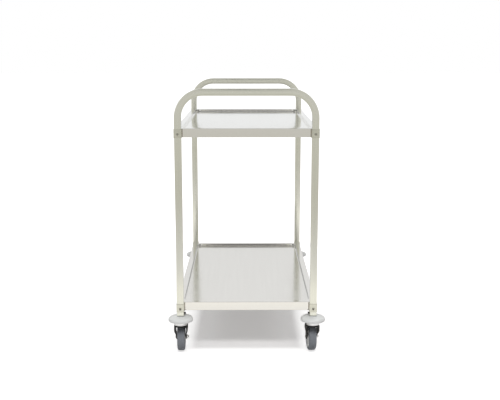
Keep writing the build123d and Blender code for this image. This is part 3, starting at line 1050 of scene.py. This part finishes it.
def lock_nut(corner):
    """Rings from the seat up to the collar and down through the bore, bridged one to the next."""
    middle, axis = wheel_line(corner)
    seat = middle + axis * foot_half_width
    bm = bmesh.new()
    stages = (
        (0, nut_bore, turned_steps),
        (0, nut_seat, turned_steps),
        (nut_chamfer, nut_across, hexagon_sides),
        (nut_hexagon, nut_across, hexagon_sides),
        (nut_hexagon + nut_chamfer, nut_collar, turned_steps),
        (nut_height - nut_chamfer, nut_collar, turned_steps),
        (nut_height, nut_top, turned_steps),
        (nut_height, nut_bore, turned_steps),
    )
    rings = [
        sided_ring(bm, seat + axis * height, axis, across, sides) for height, across, sides in stages
    ]
    for first, second in zip(rings, rings[1:] + rings[:1]):
        bmesh.ops.bridge_loops(bm, edges=first + second)
    bmesh.ops.recalc_face_normals(bm, faces=bm.faces[:])
    return bm


for corner in corners:
    node = f"axle_nut_{corner}"
    body = f"swivel_{corner}"
    make_piece(lock_nut(corner), f"lock_nut_{corner}", bright_zinc, "bright_zinc", body, node)

# Axle sleeves. A steel tube clamped between the arms, which the wheel turns on; it is hidden in
# the wheel's bore.
for corner in corners:
    dress(f"axle_sleeve_{corner}", race_steel)

# Wheel cores. Each is one light grey injection moulding of boss, web and rim, stiffened by eight
# radial ribs on both sides of the web; its bore runs on the axle sleeve.
core_bore = 0.0061
core_boss = 0.0105
core_boss_half = 0.0157
core_boss_round = 0.0008
core_boss_fillet = 0.0010
core_web_half = 0.007
core_web_fillet = 0.0012
core_rim_half = 0.012
core_rim_inside = 0.036
core_rim_round = 0.0006
core_radius = 0.04098
core_rib = 0.003
core_rib_bite = 0.001
core_ribs = 8
core_steps = 64
rib_break = 0.0004
core_grey = (0.82, 0.83, 0.82, 1.0)


def both_sides(half):
    """The closed outline of a wheel's section from the half of it on one side."""
    other = [(-along, radius, rounding) for along, radius, rounding in half]
    return other + half[::-1] + other[:1]


def add_rib(bm, shape):
    """A bar with its edges broken."""
    verts = bmesh.ops.create_cube(bm, size=1.0, matrix=shape)["verts"]
    round_off(bm, edges_of(verts), rib_break, break_steps)


def core(corner):
    """The turned section, and ribs set through the web."""
    middle, axis = wheel_line(corner)
    half = [
        (core_boss_half, core_bore, 0),
        (core_boss_half, core_boss, core_boss_round),
        (core_web_half, core_boss, core_boss_fillet),
        (core_web_half, core_rim_inside, core_web_fillet),
        (core_rim_half, core_rim_inside, core_rim_round),
        (core_rim_half, core_radius, 0),
    ]
    bm = bmesh.new()
    turned(bm, middle, axis, both_sides(half), core_steps)
    inner = core_boss - core_rib_bite
    outer = core_rim_inside + core_rib_bite
    rib_sizes = (outer - inner, core_rib, 2 * (core_rim_half - core_rib))
    shape = block(((inner + outer) / 2, 0, 0), rib_sizes)
    for count in range(core_ribs):
        turn = Matrix.Rotation(2 * math.pi * count / core_ribs, 4, "Z")
        add_rib(bm, Matrix.Translation(middle) @ facing(axis) @ turn @ shape)
    return bm


core_plastic = moulding(
    "core_plastic", core_grey, peel_scale=1100, contrast=0.12, clean=0.40, marked=0.55, strength=0.10
)
for corner in corners:
    node = f"wheel_core_{corner}"
    make_piece(core(corner), f"core_{corner}", core_plastic, "core_plastic", f"wheel_{corner}", node)

# Tyres. Grey rubber is moulded on the core, with round shoulders, a raised sidewall ring and the
# fine flash line of the mould's two halves round the tread.
tyre_radius = 0.050
tyre_inside = 0.041
tyre_half = 0.014
tyre_shoulder = 0.0065
wall_ring = 0.0012
wall_ring_foot = 0.0018
wall_ring_round = 0.0004
wall_ring_proud = 0.0005
wall_lean = 0.0003
flash_half = 0.0003
flash_height = 0.0002
tyre_steps = 96
tyre_grey = (0.222, 0.237, 0.262, 1.0)


def tread(corner):
    """The tyre's section, turned about the axle."""
    middle, axis = wheel_line(corner)
    foot = tyre_radius - flash_height
    half = [
        (tyre_half, tyre_inside, 0),
        (tyre_half, tyre_inside + wall_ring, wall_ring_round),
        (tyre_half - wall_ring_proud, tyre_inside + wall_ring_foot, 0),
        (tyre_half - wall_lean, foot, tyre_shoulder),
        (flash_half * 2, foot, 0),
        (flash_half, tyre_radius, 0),
    ]
    bm = bmesh.new()
    turned(bm, middle, axis, both_sides(half), tyre_steps)
    return bm


tyre_rubber = moulding(
    "tyre_rubber", tyre_grey, peel_scale=1500, contrast=0.22, clean=0.58, marked=0.75, strength=0.18
)
for corner in corners:
    node = f"tyre_{corner}"
    make_piece(tread(corner), f"tread_{corner}", tyre_rubber, "tyre_grey", f"wheel_{corner}", node)

# Brakes. The two rear casters have a black moulded pedal on a zinc-plated rivet through the
# fork's ears; its shoe hangs over the tread and its wide toe is ribbed for the foot.
pedal_edge = 0.0006
pedal_reach = 0.049
pedal_drop = 0.014
toe_length = 0.014
toe_radius = 0.0025
toe_ribs = 5
toe_rib = (0.030, 0.0015, 0.0016)
pedal_black = (0.022, 0.022, 0.023, 1.0)


def ribbed_pedal(corner):
    """The lever as it was drawn, with low ribs set across the top of its toe."""
    bm = whole_copy(f"brake_pedal_{corner}")
    pivot = Vector(joints[f"brake_press_{corner}"]["pos_m"])
    stem = Vector(joints[f"swivel_turn_{corner}"]["pos_m"])
    out = Vector((pivot.x - stem.x, pivot.y - stem.y, 0)).normalized()
    lever = out * pedal_reach - Vector((0, 0, pedal_drop))
    down = lever.normalized()
    across = Vector((0, 0, 1)).cross(out)
    upward = down.cross(across)
    lie = Matrix((across, down, upward)).transposed().to_4x4()
    for count in range(toe_ribs):
        back = down * toe_length * count / (toe_ribs - 1)
        seat = pivot + lever - back + upward * toe_radius
        add_rib(bm, Matrix.Translation(seat) @ lie @ Matrix.Diagonal((*toe_rib, 1)))
    return bm


pedal_plastic = moulding(
    "pedal_plastic", pedal_black, peel_scale=900, contrast=0.3, clean=0.38, marked=0.52, strength=0.15
)
for corner in ("rear_left", "rear_right"):
    node = f"brake_pedal_{corner}"
    body = f"brake_{corner}"
    piece = make_piece(ribbed_pedal(corner), f"pedal_{corner}", pedal_plastic, "pedal_black", body, node)
    ease_edges(piece, pedal_edge)
    dress(f"brake_pin_{corner}", bright_zinc)

# Floor. A plain pale studio floor, white to the eye away from the trolley. Near it the glow to the eye
# is lowered in a soft rectangle, a painted shadow under the trolley on top of the lamps' own shadow.
# Metal sees warm bands on it: dark as painted shadow under the trolley, pale at its foot,
# dark beyond, paler far off.
floor_half = 30.0
floor_pale = (0.70, 0.685, 0.685, 1.0)
floor_matt = 0.9
painted_shadow_half = (0.220, 0.442, 0.0)
painted_shadow_glow = 0.275
painted_shadow_edges = ((-0.17, -0.05, 0.05), (-0.042, -0.002, 0.30), (0.02, 0.5, 0.40))
sides_nearer = (-0.225, 0.0, 0.0)
# Glow that metal sees, by distance out from the trolley; the nearest stop, under it, is painted shadow
floor_seen = (
    (13.0, (0.385, 0.38, 0.35)),
    (7.0, (0.30, 0.295, 0.235)),
    (4.5, (0.265, 0.26, 0.19)),
    (3.4, (0.20, 0.195, 0.14)),
    (2.4, (0.093, 0.09, 0.06)),
    (1.65, (0.05, 0.05, 0.03)),
    (1.46, (0.06, 0.06, 0.04)),
    (1.32, (0.28, 0.27, 0.20)),
    (1.13, (0.28, 0.27, 0.20)),
    (0.9, (0.21, 0.21, 0.16)),
    (0.8, (0.45, 0.44, 0.40)),
    (0.68, (0.08, 0.075, 0.055)),
)


def soft_step(tree, value, start, full, rise=1.0):
    """A step with soft ends, from none to its rise."""
    sockets = {"Value": value, "From Min": start, "From Max": full, "To Min": 0.0, "To Max": rise}
    made = add_node(tree, "MapRange", sockets, interpolation_type="SMOOTHSTEP")
    return made.outputs["Result"]


def beyond(tree, spread, half_sides):
    """How far a point of the floor is past the nearest side of a rectangle round the middle."""
    past = add_node(tree, "VectorMath", {0: spread, 1: half_sides}, operation="SUBTRACT")
    past = add_node(tree, "SeparateXYZ", {0: past.outputs[0]}).outputs
    return combine(tree, "MAXIMUM", past["X"], past["Y"])


def seen_rays(tree, ray):
    """One for rays from the camera and for those that metal and glass send on, else none."""
    seen = combine(tree, "MAXIMUM", ray["Is Camera Ray"], ray["Is Glossy Ray"])
    return combine(tree, "MAXIMUM", seen, ray["Is Transmission Ray"])


bm = bmesh.new()
bmesh.ops.create_grid(bm, x_segments=1, y_segments=1, size=floor_half)
floor_mesh = bpy.data.meshes.new("floor")
bm.to_mesh(floor_mesh)
bm.free()
floor = bpy.data.objects.new("floor", floor_mesh)
bpy.context.scene.collection.objects.link(floor)
floor_paint, tree, shader, place = new_material("floor_paint")
spread = add_node(tree, "VectorMath", {0: place}, operation="ABSOLUTE").outputs[0]
past = beyond(tree, spread, painted_shadow_half)
# The camera's glow: low under the trolley as painted shadow, rising in soft steps to white past it
glow_with_painted_shadow = painted_shadow_glow
for start, full, rise in painted_shadow_edges:
    glow_with_painted_shadow = combine(tree, "ADD", glow_with_painted_shadow, soft_step(tree, past, start, full, rise))
# Measured out from the middle, with the sides counted as far out as the ends
away = beyond(tree, spread, sides_nearer)
far = floor_seen[0][0]
near = floor_seen[-1][0]
run = add_node(tree, "MapRange", {"Value": away, "From Min": far, "From Max": near})
paper = add_node(tree, "ValToRGB", {"Fac": run.outputs["Result"]})
stops = paper.color_ramp.elements
for reach, tint in floor_seen[1:-1]:
    stops.new((far - reach) / (far - near)).color = (*tint, 1.0)
stops[0].color = (*floor_seen[0][1], 1.0)
stops[-1].color = (*floor_seen[-1][1], 1.0)
ray = add_node(tree, "LightPath").outputs
surface = {
    "Base Color": floor_pale,
    "Roughness": floor_matt,
    "Specular IOR Level": 0.0,
    "Emission Color": mix_colours(tree, ray["Is Camera Ray"], paper.outputs["Color"], glow_with_painted_shadow),
    "Emission Strength": seen_rays(tree, ray),
}
fill(tree, shader, surface)
floor_mesh.materials.append(floor_paint)

# Room. White all round to the eye. Metal sees it pale behind the trolley over a dark skirting, grey
# at the sides and dark overhead round a soft box, with the dark shape of the camera in front
# between two bright boxes.
room_ambient = 0.45
room_white = (1.0, 1.0, 1.0, 1.0)
room_side = (0.64, 0.64, 0.60, 1.0)
room_back = (0.89, 0.90, 0.90, 1.0)
room_mid = (0.80, 0.80, 0.79, 1.0)
room_high = (0.86, 0.86, 0.85, 1.0)
room_dim = (0.66, 0.65, 0.61, 1.0)
room_dark = (0.16, 0.16, 0.16, 1.0)
room_top = (0.22, 0.22, 0.22, 1.0)
room_box = (0.80, 0.80, 0.79, 1.0)
world = bpy.data.worlds.new("room")
bpy.context.scene.world = world
world.use_nodes = True
tree = world.node_tree
way = add_node(tree, "TexCoord").outputs["Generated"]
across, along, up = add_node(tree, "SeparateXYZ", {0: way}).outputs
aside = combine(tree, "ABSOLUTE", across)


def zone_share(edges):
    """How far a direction is inside all of a zone's soft edges, each (direction, none, all)."""
    share = soft_step(tree, *edges[0])
    for edge in edges[1:]:
        share = combine(tree, "MULTIPLY", share, soft_step(tree, *edge))
    return share


rear_mid = [(up, 0.10, 0.20)]
rear_high = [(up, 0.23, 0.33)]
rear = [(along, 0.3, 0.85)]
overhead = [(up, 0.5, 0.8)]
soft_box = [(up, 0.97, 0.9995)]
front_wall = [(along, -0.45, -0.75), (up, 0.65, 0.5)]
camera_shape = [(along, -0.5, -0.6), (up, 0.34, 0.28), (up, 0.02, 0.06), (aside, 0.06, 0.03)]
ahead = [(along, 0.0, -0.15), (up, 0.34, 0.28)]
bright_boxes = ahead + [(aside, 0.28, 0.34), (aside, 0.62, 0.56)]
flanks = ahead + [(aside, 0.66, 0.72)]
skirting = [(along, 0.5, 0.7), (up, 0.13, 0.09), (aside, 0.11, 0.15), (aside, 0.34, 0.28)]
rear_wall = mix_colours(tree, zone_share(rear_mid), room_back, room_mid)
rear_wall = mix_colours(tree, zone_share(rear_high), rear_wall, room_high)
colour = mix_colours(tree, zone_share(rear), room_side, rear_wall)
for zone, tint in (
    (overhead, room_top),
    (soft_box, room_box),
    (front_wall, room_dim),
    (camera_shape, room_dark),
    (bright_boxes, room_white),
    (flanks, room_dark),
    (skirting, room_dark),
):
    colour = mix_colours(tree, zone_share(zone), colour, tint)
ray = add_node(tree, "LightPath").outputs
colour = mix_colours(tree, ray["Is Glossy Ray"], room_white, colour)
seen = seen_rays(tree, ray)
level = add_node(tree, "MapRange", {"Value": seen, "To Min": room_ambient, "To Max": 1.0})
fill(tree, tree.nodes["Background"], {"Color": colour, "Strength": level.outputs["Result"]})

# Lamps. A large soft box overhead, and a smaller one high in front that reaches a little way
# under the lower tray.
for name, place, aim, size, power in (
    ("overhead_box", (0, 0.1, 2.6), (0, 0, 0), (1.8, 1.2), 28),
    ("front_box", (0, -1.9, 2.2), (0, 0, 0.2), (1.6, 0.5), 27),
):
    lamp = bpy.data.lights.new(name, "AREA")
    lamp.shape = "RECTANGLE"
    lamp.size, lamp.size_y = size
    lamp.energy = power
    box = bpy.data.objects.new(name, lamp)
    box.location = place
    box.visible_glossy = False
    box.rotation_euler = (Vector(aim) - Vector(place)).to_track_quat("-Z", "Y").to_euler()
    bpy.context.scene.collection.objects.link(box)

# Camera. It stands square to one end of the trolley, a little above the handles, and looks
# slightly down along it.
camera_place = (-0.0051, -3.2532, 1.0890)
camera_dip = 10.68
camera_turn = -0.341
camera = bpy.data.cameras.new("camera")
camera.sensor_width = 36.0
camera.lens = 58.45
viewer = bpy.data.objects.new("camera", camera)
viewer.location = camera_place
viewer.rotation_euler = (math.radians(90 - camera_dip), 0, math.radians(camera_turn))
bpy.context.scene.collection.objects.link(viewer)
bpy.context.scene.camera = viewer
bpy.context.scene.view_settings.view_transform = "Standard"
